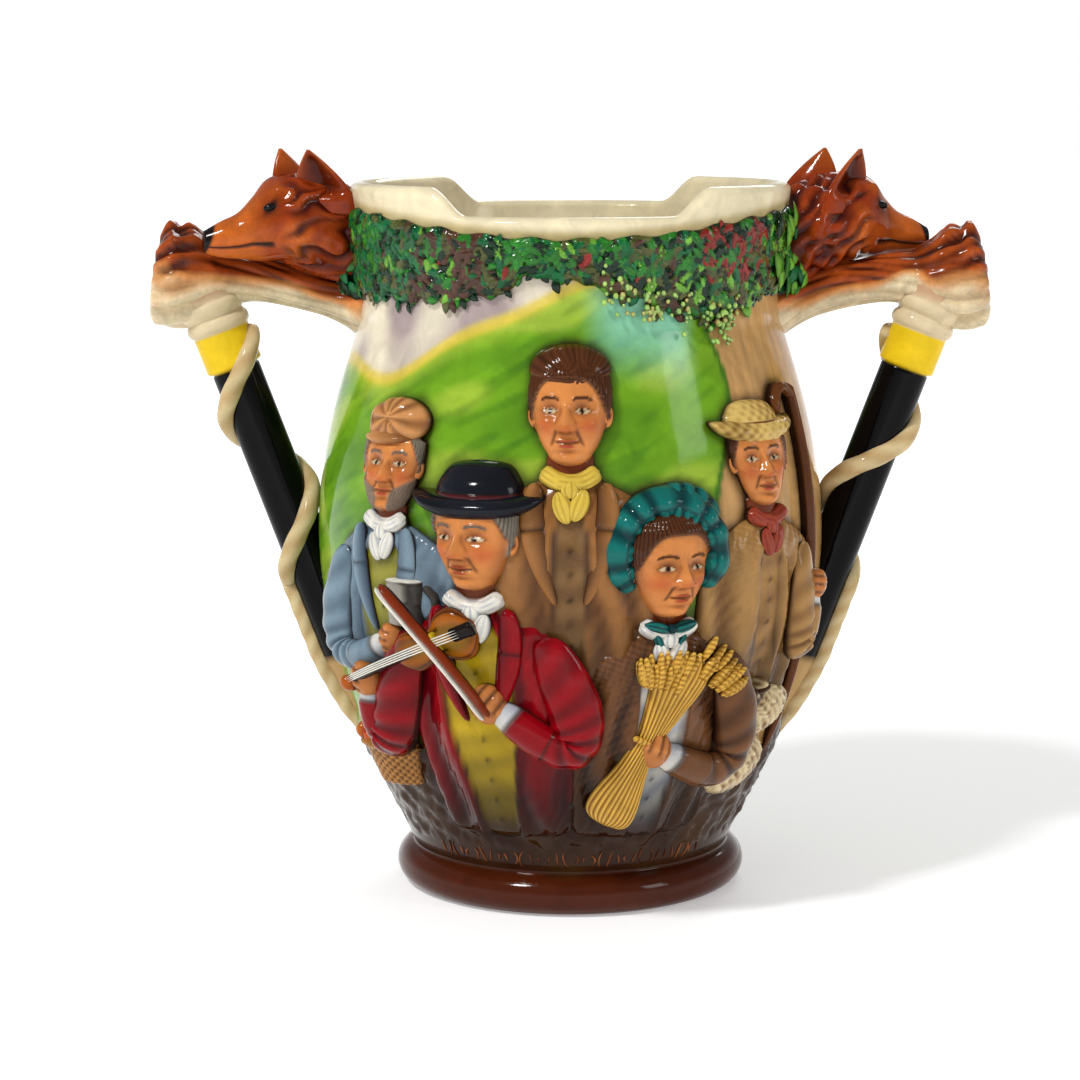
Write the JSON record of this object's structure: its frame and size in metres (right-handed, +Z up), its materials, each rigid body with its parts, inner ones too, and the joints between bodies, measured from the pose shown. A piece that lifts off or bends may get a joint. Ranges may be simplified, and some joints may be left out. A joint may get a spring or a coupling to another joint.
{
  "type": "loving cup",
  "caption": "Two-handled relief-moulded earthenware cup: hunting-crop handles with fox heads, a leaf garland and a country gathering on the front.",
  "frame": {"origin": "on the table, under the middle of the foot", "axes": "+Z up the cup's axis, +X towards the right-hand handle seen from the front, -Y out of the front with the figures"},
  "size_m": [0.252, 0.1676, 0.2228],
  "materials": {
    "glazed_earthenware": "gloss glaze over hand-painted colours"
  },
  "bodies": {
    "root": {"loving_cup": "glazed_earthenware"}
  },
  "joints": []
}
